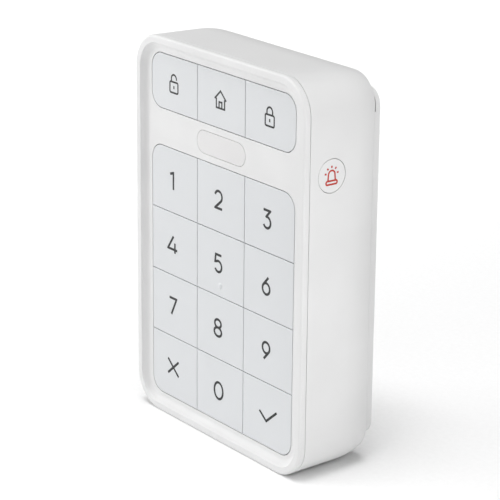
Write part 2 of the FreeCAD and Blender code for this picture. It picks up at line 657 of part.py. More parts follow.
def key_frame():
    """Lattice that guides the stems, with a rail round it and clips for the board."""
    frame = inset_slab(FRAME_IN, Y_PANEL, Y_MAT_F)
    inner = FRAME_IN + RAIL_T
    frame = frame.cut([inset_slab(inner, Y_PANEL - OVER, Y_FRAME_F),
                       inset_slab(inner, Y_FRAME_R, Y_MAT_F + OVER)])
    front, rear = Y_FRAME_F - OVER, Y_FRAME_R + OVER
    half_x, half_z = STEM_W / 2 + STEM_GAP, STEM_H / 2 + STEM_GAP
    windows = [box(x - half_x, x + half_x, front, rear, z - half_z, z + half_z)
               for _, x, z, _, _, _ in key_cells()]
    grow = 2 * (FLANGE + HOLE_GAP)
    window = pill_slab(WINDOW_W + grow, WINDOW_H + grow, BAND_Z, front, rear)
    frame = frame.cut(windows + [window] + boss_holes(Y_PANEL, Y_MAT_F))
    clips = []
    for side, along in clip_places():
        clips.append(edge_block(side, along, CLIP_W, FRAME_IN, FRAME_IN + RAIL_T,
                                Y_MAT_F - ROOT, Y_BOARD_R + CLIP_T))
        clips.append(edge_block(side, along, CLIP_W, FRAME_IN + RAIL_T,
                                FRAME_IN + RAIL_T + CLIP_REACH, Y_BOARD_R, Y_BOARD_R + CLIP_T))
    return frame.fuse(clips).removeSplitter()


def clip_notches(y0, y1):
    """Cuts through a layer, where the clips of the key frame pass."""
    return [edge_block(side, along, CLIP_W + 2 * HOLE_GAP, 0, FRAME_IN + RAIL_T + CLIP_GAP,
                       y0 - OVER, y1 + OVER) for side, along in clip_places()]


def key_mat():
    """Silicone sheet with a dome under every stem."""
    mat = inset_slab(MAT_IN, Y_MAT_F, Y_BOARD_F)
    domes, hollows = [], []
    for _, x, z, _, _, _ in key_cells():
        domes.append(Part.makeCone(DOME_R2, DOME_R1, DOME_H, Vector(x, Y_DOME, z), Vector(0, 1, 0)))
        hollows.append(rod(DOME_R2 - DOME_SKIN, Vector(x, Y_DOME + DOME_SKIN, z),
                           Vector(x, Y_BOARD_F + OVER, z)))
    grow = 2 * (HOLE_GAP - GUIDE_IN)
    guide = pill_slab(WINDOW_W + grow, WINDOW_H + grow, BAND_Z, Y_MAT_F - OVER, Y_BOARD_F + OVER)
    cuts = hollows + [guide] + boss_holes(Y_MAT_F, Y_BOARD_F) + clip_notches(Y_MAT_F, Y_BOARD_F)
    return mat.fuse(domes).cut(cuts).removeSplitter()


def contact_pills():
    y = Y_DOME + DOME_SKIN
    return compound([rod(PILL_R, Vector(x, y, z), Vector(x, y + PILL_T, z))
                     for _, x, z, _, _, _ in key_cells()])


def circuit_board():
    board = inset_slab(MAT_IN, Y_BOARD_F, Y_BOARD_R)
    cuts = boss_holes(Y_BOARD_F, Y_BOARD_R) + clip_notches(Y_BOARD_F, Y_BOARD_R)
    return board.cut(cuts).removeSplitter()


def status_window():
    """Pill-shaped window flush with the panel, and the flange that holds it from behind."""
    lens = pill_slab(WINDOW_W, WINDOW_H, BAND_Z, Y_KEY, Y_PANEL + ROOT)
    lens = lens.makeFillet(WINDOW_EDGE_R, [e for e in lens.Edges if lies_at_depth(e, Y_KEY)])
    flange = pill_slab(WINDOW_W + 2 * FLANGE, WINDOW_H + 2 * FLANGE, BAND_Z, Y_PANEL,
                       Y_PANEL + FLANGE_T)
    return lens.fuse(flange).removeSplitter()


def light_guide():
    return pill_slab(WINDOW_W - 2 * GUIDE_IN, WINDOW_H - 2 * GUIDE_IN, BAND_Z,
                     Y_PANEL + FLANGE_T, Y_BOARD_F - LED_T - GUIDE_GAP)


def status_leds():
    half = LED_SIZE / 2
    return compound([box(i * LED_PITCH - half, i * LED_PITCH + half, Y_BOARD_F - LED_T, Y_BOARD_F,
                         BAND_Z - half, BAND_Z + half) for i in (-1, 0, 1)])


def on_board(size, x, z):
    """Block that stands on the rear of the board."""
    return box(x - size[0] / 2, x + size[0] / 2, Y_BOARD_R, Y_BOARD_R + size[2],
               z - size[1] / 2, z + size[1] / 2)


def radio_shield():
    can = on_board(SHIELD, SHIELD_X, TOP_Z - SHIELD_TOP)
    rim = [e for e in can.Edges if lies_at_depth(e, Y_BOARD_R + SHIELD[2])]
    return can.makeFillet(SHIELD_EDGE_R, rim)


def antenna():
    """Flat strip on two legs above the board."""
    length, width, sheet = ANTENNA
    x0, x1 = ANTENNA_X - length / 2, ANTENNA_X + length / 2
    z0 = TOP_Z - ANTENNA_TOP - width / 2
    under = Y_BOARD_R + ANTENNA_LEG
    strip = box(x0, x1, under, under + sheet, z0, z0 + width)
    legs = [box(x, x + ANTENNA_FOOT, Y_BOARD_R, under + sheet, z0, z0 + sheet)
            for x in (x0, x1 - ANTENNA_FOOT)]
    return strip.fuse(legs).removeSplitter()


def buzzer():
    x = -(BAY_HALF + BAY_WALL + HALF_W - MAT_IN) / 2
    z = BAY_TOP - BUZZER_Z
    rear = Y_BOARD_R + BUZZER_T
    can = rod(BUZZER_R, Vector(x, Y_BOARD_R, z), Vector(x, rear, z))
    return can.cut(rod(BUZZER_PORT_R, Vector(x, rear - BUZZER_PORT_T, z), Vector(x, rear + OVER, z)))


# ---- side button and tamper contact ----------------------------------------------------------
def button_faces():
    """Where the side button's flange starts and its stem ends, along X."""
    wall_in = HALF_W - SIDE_WALL - (BUTTON_Y + BUTTON_R - Y_SEAM) * math.tan(math.radians(DRAFT))
    flange = wall_in - BUTTON_FLANGE_GAP
    return flange, flange - BUTTON_FLANGE_T - BUTTON_STEM_L


def on_button_axis(x):
    return Vector(x, BUTTON_Y, BAND_Z)


def panic_button():
    """Round cap, cut to the slope of the side wall, with a flange and a stem inside."""
    flange, stem_end = button_faces()
    cap = rod(BUTTON_R, on_button_axis(flange - ROOT), on_button_axis(HALF_W + OVER))
    cap = cap.common(housing_outside())
    cap = cap.makeFillet(BUTTON_EDGE_R, [e for e in cap.Edges if e.BoundBox.XMin > flange + OVER])
    disc = rod(BUTTON_R + BUTTON_FLANGE, on_button_axis(flange - BUTTON_FLANGE_T),
               on_button_axis(flange))
    stem = rod(BUTTON_STEM_R, on_button_axis(stem_end), on_button_axis(flange))
    return cap.fuse([disc, stem]).removeSplitter()


def side_switch():
    """Push switch on the board that the side button works."""
    _, stem_end = button_faces()
    end = stem_end - BUTTON_TRAVEL - STROKE_GAP
    face = end - SWITCH_TIP
    body = box(face - SWITCH_L, face, Y_BOARD_R, Y_BOARD_R + SWITCH_T,
               BAND_Z - SWITCH_W / 2, BAND_Z + SWITCH_W / 2)
    return body.fuse(rod(BUTTON_STEM_R, on_button_axis(face - ROOT), on_button_axis(end)))


def tamper_switch():
    spot = Vector(PLUNGER_X, 0, PLUNGER_Z)
    top = Y_BOARD_R + SWITCH_T
    body = on_board((SWITCH_W, SWITCH_W, SWITCH_T - TIP_T), PLUNGER_X, PLUNGER_Z)
    return body.fuse(rod(TIP_R, at_depth(spot, top - TIP_T - ROOT), at_depth(spot, top)))


def tamper_plunger():
    """Pin that the bracket holds pressed while the keypad is on the wall."""
    spot = Vector(PLUNGER_X, 0, PLUNGER_Z)
    front = Y_BOARD_R + SWITCH_T + PLUNGER_TRAVEL + STROKE_GAP
    rear = -FLOOR_T - PLUNGER_REST
    pin = rod(PLUNGER_R, at_depth(spot, front), at_depth(spot, rear))
    pin = pin.makeFillet(PLUNGER_EDGE_R, [e for e in pin.Edges if lies_at_depth(e, rear)])
    return pin.fuse(rod(COLLAR_R, at_depth(spot, front), at_depth(spot, front + COLLAR_T)))


# ---- batteries and their contacts ------------------------------------------------------------
def battery_cell(side):
    """AA cell; the two cells point opposite ways."""
    x = side * CELL_X
    z0, z1 = CELL_BOTTOM, CELL_BOTTOM + CELL_L
    nub_up = side > 0
    can_low, can_high = (z0, z1 - NUB_L) if nub_up else (z0 + NUB_L, z1)
    can = rod(CELL_D / 2, Vector(x, Y_CELL, can_low), Vector(x, Y_CELL, can_high))
    can = can.makeFillet(CELL_EDGE_R, [e for e in can.Edges if e.BoundBox.ZLength < TOL])
    nub = rod(NUB_R, Vector(x, Y_CELL, z0), Vector(x, Y_CELL, z1))
    clear = rod(CELL_D, Vector(x, Y_CELL, can_low if nub_up else can_high),
                Vector(x, Y_CELL, z0 - OVER if nub_up else z1 + OVER))
    return can.fuse(nub.cut(clear)).removeSplitter()


def contact_plate(side, top):
    """Flat sheet against an end wall of the bay."""
    x = side * CELL_X
    half = CELL_D / 2 - PLATE_IN
    wall = BAY_TOP if top else BAY_BOTTOM
    z0, z1 = (wall - PLATE_T, wall) if top else (wall, wall + PLATE_T)
    return box(x - half, x + half, Y_CELL - half, Y_CELL + half, z0, z1)


def leaf_spring(side, top):
    """Plate with a bent leaf that presses on the flat end of a cell."""
    x = side * CELL_X
    wall = BAY_TOP if top else BAY_BOTTOM
    inward = -1 if top else 1
    near = wall + inward * PLATE_T / 2
    far = wall + inward * (CONTACT_ROOM - PLATE_T)
    z0, z1 = sorted((near, far))
    back = Y_CELL - LEAF_BACK
    upright = box(x - LEAF_HALF, x + LEAF_HALF, back, back + PLATE_T, z0, z1)
    lo, hi = sorted((far, far - inward * PLATE_T))
    leaf = box(x - LEAF_HALF, x + LEAF_HALF, back, Y_CELL + LEAF_FRONT, lo, hi)
    return contact_plate(side, top).fuse([upright, leaf]).removeSplitter()


def raised_contact(side, top):
    """Plate with a raised stud for the positive end of a cell."""
    x = side * CELL_X
    inward = -1 if top else 1
    wall = BAY_TOP if top else BAY_BOTTOM
    stud = rod(STUD_R, Vector(x, Y_CELL, wall + inward * PLATE_T / 2),
               Vector(x, Y_CELL, wall + inward * (CONTACT_ROOM - STUD_GAP)))
    return contact_plate(side, top).fuse(stud).removeSplitter()


# ---- wall bracket ----------------------------------------------------------------------------
def bracket_slab(inset, y0, y1):
    return rounded_slab(BR_HALF_W - inset, BR_HALF_H - inset, BRACKET_R - inset, 0, y0, y1)


def pad_places():
    z = BR_HALF_H - RIM_W - PAD_IN - PAD_H / 2
    return [z, -z]


def wall_bracket():
    """Plate with a rim, four hooks and two countersunk holes for wall screws."""
    plate = bracket_slab(0, Y_REAR, 0)
    plate = plate.makeFillet(BRACKET_EDGE_R, [e for e in plate.Edges if lies_at_depth(e, Y_REAR)])
    plate = plate.cut(bracket_slab(RIM_W, Y_REAR - OVER, -FLOOR_T))
    plate = plate.cut(box(-HALF_W, HALF_W, Y_REAR - OVER, Y_REAR + TOP_STEP,
                          BR_HALF_H - TOP_STEP_L, BR_HALF_H + OVER))
    hooks, windows = [], []
    tip_front = Y_DOOR - HOOK_PLAY - HOOK_T
    for x, z in hook_places():
        lo, hi = x - HOOK_W / 2, x + HOOK_W / 2
        top = z + HOOK_STEM + HOOK_TIP
        hooks.append(box(lo, hi, tip_front, -FLOOR_T / 2, z, z + HOOK_STEM - HOOK_UNDER))
        tip = box(lo, hi, tip_front, tip_front + HOOK_T, z, top)
        lead = [e for e in tip.Edges if abs(e.CenterOfMass.z - top) < TOL and e.Length > HOOK_W / 2]
        hooks.append(tip.makeChamfer(HOOK_LEAD, lead))
        windows.append(box(lo - HOOK_PLAY, hi + HOOK_PLAY, -FLOOR_T - OVER, OVER,
                           z + HOOK_STEM, top + 2 * HOOK_PLAY))
    ring_y = Y_REAR + RING_LOW
    wall_holes = [Vector(0, 0, side * WALL_HOLE_SPACING / 2) for side in (-1, 1)]
    rings = [rod(SINK_R + RING_T, at_depth(p, ring_y), at_depth(p, -FLOOR_T / 2))
             for p in wall_holes]
    plate = plate.cut(windows).fuse(hooks + rings)
    cuts = []
    for p in wall_holes:
        cuts.append(rod(WALL_HOLE_R, at_depth(p, Y_REAR - OVER), at_depth(p, OVER)))
        cuts.append(Part.makeCone(SINK_R + OVER, WALL_HOLE_R, SINK_R - WALL_HOLE_R + OVER,
                                  at_depth(p, ring_y - OVER), Vector(0, 1, 0)))
    for z in pad_places():
        cuts.append(rounded_slab(PAD_W / 2 + PAD_GAP, PAD_H / 2 + PAD_GAP, PAD_R + PAD_GAP, z,
                                 -PAD_SINK, OVER))
    return plate.cut(cuts).removeSplitter()


def adhesive_pads():
    return compound([rounded_slab(PAD_W / 2, PAD_H / 2, PAD_R, z, -PAD_SINK, 0)
                     for z in pad_places()])


# ---- all nodes -------------------------------------------------------------------------------
def all_parts():
    parts = {
        "wall_bracket": wall_bracket(),
        "adhesive_pads": adhesive_pads(),
        "front_bezel": front_bezel(),
        "rear_case": rear_case(),
        "battery_door": battery_door(),
        "case_screws": case_screws(),
        "status_window": status_window(),
        "light_guide": light_guide(),
        "status_leds": status_leds(),
        "key_frame": key_frame(),
        "key_mat": key_mat(),
        "contact_pills": contact_pills(),
        "circuit_board": circuit_board(),
        "radio_shield": radio_shield(),
        "processor": on_board(CHIP, 0, TOP_Z - CHIP_TOP),
        "antenna": antenna(),
        "buzzer": buzzer(),
        "panic_button": panic_button(),
        "panic_switch": side_switch(),
        "tamper_switch": tamper_switch(),
        "tamper_plunger": tamper_plunger(),
        "battery_cell_left": battery_cell(-1),
        "battery_cell_right": battery_cell(1),
        "spring_contacts": compound([leaf_spring(-1, True), leaf_spring(1, False)]),
        "stud_contacts": compound([raised_contact(-1, False), raised_contact(1, True)]),
    }
    for cell in key_cells():
        parts[cell[0]] = key(*cell)
    return parts


os.makedirs("parts", exist_ok=True)
for node, shape in all_parts().items():
    solids = shape.Solids
    if not shape.isValid() or not solids:
        raise ValueError(node + " is not a valid solid")
    whole = solids[0] if len(solids) == 1 else Part.makeCompound(solids)
    whole.exportStep("parts/" + node + ".step")
    print(node, len(solids), round(shape.Volume, 1))
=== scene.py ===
import json
import math

import bpy
from mathutils import Matrix, Vector
from mathutils.geometry import delaunay_2d_cdt


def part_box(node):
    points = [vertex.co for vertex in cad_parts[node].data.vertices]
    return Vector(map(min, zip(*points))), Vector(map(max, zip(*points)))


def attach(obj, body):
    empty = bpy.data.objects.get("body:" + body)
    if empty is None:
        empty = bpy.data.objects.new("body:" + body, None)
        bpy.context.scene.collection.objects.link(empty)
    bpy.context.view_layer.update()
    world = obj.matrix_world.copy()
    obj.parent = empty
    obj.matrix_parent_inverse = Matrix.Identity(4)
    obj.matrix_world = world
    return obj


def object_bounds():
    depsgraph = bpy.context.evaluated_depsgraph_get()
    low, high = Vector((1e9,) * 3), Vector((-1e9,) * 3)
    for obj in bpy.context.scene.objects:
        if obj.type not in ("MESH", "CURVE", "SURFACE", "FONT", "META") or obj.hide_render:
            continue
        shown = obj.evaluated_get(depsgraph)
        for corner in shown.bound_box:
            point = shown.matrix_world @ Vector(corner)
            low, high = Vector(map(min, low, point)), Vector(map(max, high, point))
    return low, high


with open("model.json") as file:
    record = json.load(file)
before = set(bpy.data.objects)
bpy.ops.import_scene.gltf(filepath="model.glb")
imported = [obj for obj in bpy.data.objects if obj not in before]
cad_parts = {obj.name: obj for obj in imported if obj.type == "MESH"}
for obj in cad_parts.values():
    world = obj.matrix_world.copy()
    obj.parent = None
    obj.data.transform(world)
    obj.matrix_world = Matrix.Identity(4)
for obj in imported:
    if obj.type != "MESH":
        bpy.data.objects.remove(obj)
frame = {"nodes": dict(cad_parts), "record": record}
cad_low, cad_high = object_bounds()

# Wall-mounted alarm keypad. The frame is in metres, with +Z up, and the keys face -Y. The sizes
# below are in millimetres, and MM turns them to metres where a mesh or a place is made.
MM = 0.001

# ---- sizes of the printed artwork ------------------------------------------------------------
INK_T = 0.02             # ink that stands above the face
INK_SINK = 0.005         # ink below it, so that no gap shows under the edge of the print
FIGURE_W = 3.5           # width and height of a figure, between the middles of its strokes
FIGURE_H = 5.15
FIGURE_STROKE = 0.76
FIGURE_LEFT = -2.7       # left stroke of a figure from the middle of its key
FIGURE_DROP = 0.1        # middle of a figure below the middle of its key
FIVE_LIFT = 0.35         # the 5 stands higher than the others, clear of the raised dot below it
NINE_SHIFT = 0.3         # the 9, which is the 6 turned over, stands further right
SIGN_STROKE = 0.74       # cross and tick
PICTOGRAM_STROKE = 0.55
PICTOGRAM_SHIFT = (-0.25, 0.1)      # along X and Z, from the middle of the key
BEACON_STROKE = 0.5
BEACON_SHIFT = (-0.1, 0.4)          # along Y and Z, from the middle of the button
ARC_STEP = 7.5           # degrees between two points of an arc
MITRE_LIMIT = 1.45       # a mitre longer than this, in half strokes, is cut short
CLOSE_GAP = 0.005        # a path whose ends lie nearer than this is closed
STRAIGHT = 1e-6          # a bend that turns less than this, as a sine, needs no mitre
WELD_GAP = 1e-5          # corners nearer than this become one
INSIDE_ONLY = 1          # asks for the triangles that lie in the strokes, and no others

# ---- studio ----------------------------------------------------------------------------------
CAMERA_YAW, CAMERA_PITCH, CAMERA_ROLL = 52.805, 18.259, 0.553      # degrees
CAMERA_PLACE = (473.80, -375.63, 194.20)
CAMERA_LENS = 155.8
CAMERA_SENSOR = 36.0
CAMERA_NEAR, CAMERA_FAR = 50.0, 20000.0
FLOOR_REACH = 3000.0     # from the middle of the floor to its sides
ROOM_LIGHT = 0.16        # strength of the even white light from all round
NO_GRID = 180            # spread of a box without a grid, in degrees

# Softboxes, each aimed at the middle of the keypad: degrees to the right of the keys' front,
# degrees above the floor, side in mm and watts.
BOX_DISTANCE = 900.0
SOFTBOXES = {
    "left": (-85, 15, 400, 0.5),
    "front_left": (-50, 15, 400, 3.7),
    "front": (20, 15, 400, 0.4),
    "front_high": (30, 45, 500, 0.6),
}
# Boxes aimed at points of their own: place, point, width and height in mm, spread in degrees
# and watts. Two narrow ones light the right-hand wall and its upper corner, and a wide one with
# a grid lights only the floor behind.
AIMED_BOXES = {
    "wall": ((90, -26, -8), (40, -24, -8), 20, 120, NO_GRID, 0.0127),
    "corner": ((200, -40, 100), (40, -24, 100), 60, 100, NO_GRID, 0.09),
    "backdrop": ((-500, 480, 900), (-500, 480, 0), 800, 800, 50, 0.7),
}
# Wide diffuser far overhead, which lights the whole floor evenly: how wide it looks and how far
# it stands towards the keys' side, in degrees, and watts on a square metre.
DIFFUSER_DISC, DIFFUSER_TILT, DIFFUSER_POWER = 37.0, 5.0, 2.08


# ---- tools for the finishes ------------------------------------------------------------------
WAVE_PERIOD = math.tau / 20       # a wave texture of scale 1 repeats after this length


def linear(code):
    """Linear RGBA from an sRGB hex code, by the standard's own curve."""
    values = [int(code[i:i + 2], 16) / 255 for i in (1, 3, 5)]
    return [v / 12.92 if v <= 0.04045 else ((v + 0.055) / 1.055) ** 2.4 for v in values] + [1.0]


def per(mm):
    """Scale of a pattern that repeats, or has its blobs, mm apart in object coordinates."""
    return 1 / (mm * MM)


def add(tree, kind, settings=(), links=()):
    """Adds a node. A setting names an input, by name or number, or a property of the node, and
    stops are the places and colours of a colour ramp. A link gives an input the output that
    feeds it, or a node, which stands for its first output. The inputs of a Math or a Mix node
    share their names, so they go by number."""
    node = tree.nodes.new("ShaderNode" + kind)
    for name, value in dict(settings).items():
        if name == "stops":
            elements = node.color_ramp.elements
            while len(elements) < len(value):
                elements.new(1.0)
            for element, (place, colour) in zip(elements, value):
                element.position, element.color = place, linear(colour)
        elif isinstance(name, int) or name in node.inputs:
            node.inputs[name].default_value = value
        else:
            setattr(node, name, value)
    for name, source in dict(links).items():
        output = source.outputs[0] if hasattr(source, "outputs") else source
        tree.links.new(output, node.inputs[name])
    return node


def new_finish(name):
    """An empty material, its tree, and the object coordinates, which are metres in the frame."""
    finish = bpy.data.materials.new(name)
    finish.use_nodes = True
    tree = finish.node_tree
    tree.nodes.clear()
    return finish, tree, add(tree, "TexCoord").outputs["Object"]


# ---- plastics and rubbers --------------------------------------------------------------------
def moulded(name, light, dark, rough, grain, depth, body=()):
    """Plastic as it leaves a mould. The mould's grit leaves a fine grain, of grain and depth in
    mm, and the flow of the melt leaves a slow drift in tone and gloss over some 25 mm."""
    flow_gap, gloss_drift = 25, 0.03
    finish, tree, place = new_finish(name)
    flow = add(tree, "TexNoise", {"Scale": per(flow_gap), "Detail": 2.0}, {"Vector": place})
    tone = add(tree, "ValToRGB", {"stops": [(0.35, light), (0.65, dark)]}, {"Fac": flow})
    gloss = add(tree, "MapRange",
                {"From Min": 0.3, "From Max": 0.7, "To Min": rough - gloss_drift,
                 "To Max": rough + gloss_drift}, {"Value": flow})
    grit = add(tree, "TexNoise", {"Scale": per(grain), "Detail": 3.0}, {"Vector": place})
    skin = add(tree, "Bump", {"Distance": depth * MM}, {"Height": grit})
    shader = add(tree, "BsdfPrincipled", {"IOR": 1.53, **dict(body)},
                 {"Base Color": tone, "Roughness": gloss, "Normal": skin})
    add(tree, "OutputMaterial", {}, {"Surface": shader})
    return finish


def white_housing():
    """ABS, injection-moulded against a spark-eroded tool: satin white, so that light spreads
    softly over the crest and the corners. The real grit is 0.1 mm apart, and is drawn at
    0.45 mm so that it shows."""
    return moulded("abs_moulded_spark_eroded_white", "#E1E1E1", "#DDDDDD", 0.54, 0.45, 0.004)


def white_bracket():
    """ABS from a plainer, coarser tool: slightly greyer than the housing, with a grain that is
    wider and deeper. The real grit is 0.2 mm apart, and is drawn at 0.6 mm so that it shows."""
    return moulded("abs_moulded_coarse_white", "#DCDCDC", "#D7D7D7", 0.5, 0.6, 0.007)


def cool_white_key():
    """Polycarbonate, moulded satin: a colder white than the housing, and smoother, so that the
    keys read as a set of their own. Real grit 0.05 mm apart, drawn at 0.4 mm so that it shows."""
    return moulded("polycarbonate_moulded_satin_cool_white", "#D5D7D9", "#D4D6D8", 0.37, 0.4,
                   0.0025, {"IOR": 1.58})


def white_button():
    """ABS from a finer mould than the housing's: the same white with less grain. Real grit
    0.05 mm apart, drawn at 0.4 mm so that it shows."""
    return moulded("abs_moulded_fine_white", "#E2E2E2", "#DFDFDF", 0.4, 0.4, 0.003)


def opal_window():
    """Polycarbonate with a diffusing filler, from a polished mould: smooth and milky, since
    light goes in about a millimetre before it returns."""
    return moulded("polycarbonate_moulded_opal", "#DDDCDC", "#DAD9D9", 0.3, 1.2, 0.001,
                   {"IOR": 1.58, "Subsurface Weight": 0.25, "Subsurface Scale": 1.0 * MM,
                    "Subsurface Radius": (1.0, 1.0, 1.0)})


def frosted_guide():
    """Clear acrylic with lightly frosted faces: it passes light, blurs what is behind it and
    picks up soft bright edges."""
    return moulded("acrylic_moulded_frosted", "#F4F8FA", "#EEF3F6", 0.26, 0.5, 0.006,
                   {"IOR": 1.49, "Transmission Weight": 0.8})


def ivory_frame():
    """Undyed acetal, moulded: ivory and a little waxy, with a satin skin. Real flow lines are
    1.5 mm apart."""
    return moulded("acetal_moulded_natural", "#E7E3D8", "#DFDBCF", 0.36, 1.5, 0.004,
                   {"IOR": 1.48, "Subsurface Weight": 0.15, "Subsurface Scale": 0.8 * MM,
                    "Subsurface Radius": (1.0, 0.9, 0.7)})


def black_component():
    """Glass-filled polyester, moulded: black with a dull shine, and slightly mottled where the
    glass lies near the skin."""
    return moulded("polyester_moulded_glass_filled_black", "#1B1B1D", "#29292B", 0.46, 0.3,
                   0.008, {"IOR": 1.57})


def lamp_resin():
    """Clear silicone with phosphor over a white cup: smooth, pale yellow and slightly deep."""
    return moulded("silicone_cast_phosphor_yellow", "#F1E7A4", "#EADC86", 0.22, 0.3, 0.002,
                   {"IOR": 1.41, "Subsurface Weight": 0.3, "Subsurface Scale": 0.4 * MM})


def grey_silicone():
    """Silicone rubber, compression-moulded: grey and translucent, dull, with a faint bloom of
    dust in patches 3 mm across, over a fine grit."""
    bloom_gap, grit_gap = 3, 0.3
    finish, tree, place = new_finish("silicone_compression_moulded_grey")
    bloom = add(tree, "TexNoise", {"Scale": per(bloom_gap), "Detail": 4.0}, {"Vector": place})
    tone = add(tree, "ValToRGB", {"stops": [(0.35, "#8C9196"), (0.7, "#A4A8AB")]}, {"Fac": bloom})
    dull = add(tree, "MapRange", {"From Min": 0.35, "From Max": 0.7, "To Min": 0.5,
                                  "To Max": 0.68}, {"Value": bloom})
    grit = add(tree, "TexNoise", {"Scale": per(grit_gap), "Detail": 3.0}, {"Vector": place})
    skin = add(tree, "Bump", {"Distance": 0.004 * MM}, {"Height": grit})
    shader = add(tree, "BsdfPrincipled",
                 {"IOR": 1.41, "Subsurface Weight": 0.3, "Subsurface Scale": 1.2 * MM,
                  "Sheen Weight": 0.15, "Sheen Roughness": 0.5},
                 {"Base Color": tone, "Roughness": dull, "Normal": skin})
    add(tree, "OutputMaterial", {}, {"Surface": shader})
    return finish


def carbon_pill():
    """Silicone filled with carbon, punched from sheet: black, matt and gritty. Real grit
    0.03 mm, drawn at 0.12 mm so that it shows."""
    grit_gap = 0.12
    finish, tree, place = new_finish("silicone_punched_carbon_filled")
    grit = add(tree, "TexNoise", {"Scale": per(grit_gap), "Detail": 4.0}, {"Vector": place})
    tone = add(tree, "ValToRGB", {"stops": [(0.3, "#19191A"), (0.8, "#2E2E30")]}, {"Fac": grit})
    skin = add(tree, "Bump", {"Distance": 0.012 * MM}, {"Height": grit})
    shader = add(tree, "BsdfPrincipled", {"IOR": 1.43, "Roughness": 0.78},
                 {"Base Color": tone, "Normal": skin})
    add(tree, "OutputMaterial", {}, {"Surface": shader})
    return finish


def foam_tape():
    """Polyethylene foam, cut from sheet with its paper off: pale grey and dull, covered with
    open cells 0.35 mm across. The grey darkens towards the middle of each cell, where its pit is
    deepest: painted shade in the pits."""
    cell_gap = 0.35
    finish, tree, place = new_finish("polyethylene_foam_cut_grey")
    pit_depth_and_painted_shade = add(tree, "TexVoronoi", {"Scale": per(cell_gap)},
                {"Vector": place}).outputs["Distance"]
    # painted shade: the tone darkens towards each cell's middle, down in the pit that the bump
    # sinks
    tone = add(tree, "ValToRGB", {"stops": [(0.1, "#8A8D90"), (0.7, "#ABADAF")]}, {"Fac": pit_depth_and_painted_shade})
    pits = add(tree, "Bump", {"Distance": 0.05 * MM}, {"Height": pit_depth_and_painted_shade})
    shader = add(tree, "BsdfPrincipled", {"IOR": 1.45, "Roughness": 0.85, "Sheen Weight": 0.1},
                 {"Base Color": tone, "Normal": pits})
    add(tree, "OutputMaterial", {}, {"Surface": shader})
    return finish


# ---- electronics -----------------------------------------------------------------------------
def green_board():
    """Glass-epoxy laminate, etched and printed with green solder mask: glossy, with copper
    tracks that show paler and slightly raised, bright tinned vias some 6 mm apart, and the
    weave of the glass, 0.5 mm apart, faint below. The tracks run side by side, in bundles that
    jog at 45 degrees, along X in some zones and along Z in others, and leave some zones bare."""
    track_gap, track_w, track_fade = 1.3, 0.42, 0.04
    jog_every, jog_from, jog_to = 11.0, 4.0, 6.6     # one jog out, and in the next run back
    zone_gap, bare_share = 13, 0.25
    via_gap, via_r, via_fade = 6.0, 0.36, 0.06
    weave_gap = 0.5
    finish, tree, place = new_finish("glass_epoxy_laminate_solder_mask_green")
    axes = add(tree, "SeparateXYZ", {}, {"Vector": place})
    across, up = axes.outputs["X"], axes.outputs["Z"]
    plane = add(tree, "CombineXYZ", {}, {"X": across, "Y": up})
    bundles = []
    for run, side in ((across, up), (up, across)):
        swing = add(tree, "Math", {"operation": "PINGPONG", 1: jog_every * MM}, {0: run})
        jog = add(tree, "Clamp", {"Min": jog_from * MM, "Max": jog_to * MM}, {"Value": swing})
        moved = add(tree, "Math", {"operation": "ADD"}, {0: side, 1: jog})
        off = add(tree, "Math", {"operation": "PINGPONG", 1: track_gap / 2 * MM}, {0: moved})
        bundles.append(add(tree, "MapRange", {"From Min": (track_w + track_fade) / 2 * MM,
                                              "From Max": (track_w - track_fade) / 2 * MM},
                           {"Value": off}))
    zones = add(tree, "TexVoronoi", {"Scale": per(zone_gap), "distance": "CHEBYCHEV"},
                {"Vector": plane}).outputs["Color"]
    draw = add(tree, "SeparateColor", {}, {"Color": zones})
    along_z = add(tree, "Math", {"operation": "GREATER_THAN", 1: 0.5}, {0: draw.outputs["Red"]})
    routed = add(tree, "Math", {"operation": "LESS_THAN", 1: 1 - bare_share},
                 {0: draw.outputs["Green"]})
    both = add(tree, "Mix", {}, {0: along_z, 2: bundles[0], 3: bundles[1]})
    tracks = add(tree, "Math", {"operation": "MULTIPLY"}, {0: both, 1: routed})
    dots = add(tree, "TexVoronoi", {"Scale": per(via_gap), "voronoi_dimensions": "2D"},
               {"Vector": plane}).outputs["Distance"]
    vias = add(tree, "MapRange", {"From Min": (via_r + via_fade / 2) / via_gap,
                                  "From Max": (via_r - via_fade / 2) / via_gap}, {"Value": dots})
    mask = add(tree, "ValToRGB", {"stops": [(0.0, "#11492B"), (1.0, "#2A7A4C")]}, {"Fac": tracks})
    tone = add(tree, "Mix", {"data_type": "RGBA", 7: linear("#C9C8C4")},
               {0: vias, 6: mask}).outputs[2]
    threads = [add(tree, "TexWave", {"Scale": per(weave_gap) * WAVE_PERIOD,
                                     "bands_direction": axis}, {"Vector": place}).outputs["Fac"]
               for axis in ("X", "Z")]
    weave = add(tree, "Math", {"operation": "MAXIMUM"}, {0: threads[0], 1: threads[1]})
    cloth = add(tree, "Bump", {"Distance": 0.003 * MM}, {"Height": weave})
    copper = add(tree, "Bump", {"Distance": 0.035 * MM}, {"Height": tracks, "Normal": cloth})
    shader = add(tree, "BsdfPrincipled",
                 {"IOR": 1.55, "Roughness": 0.3, "Coat Weight": 0.3, "Coat Roughness": 0.15},
                 {"Base Color": tone, "Metallic": vias, "Normal": copper})
    add(tree, "OutputMaterial", {}, {"Surface": shader})
    return finish


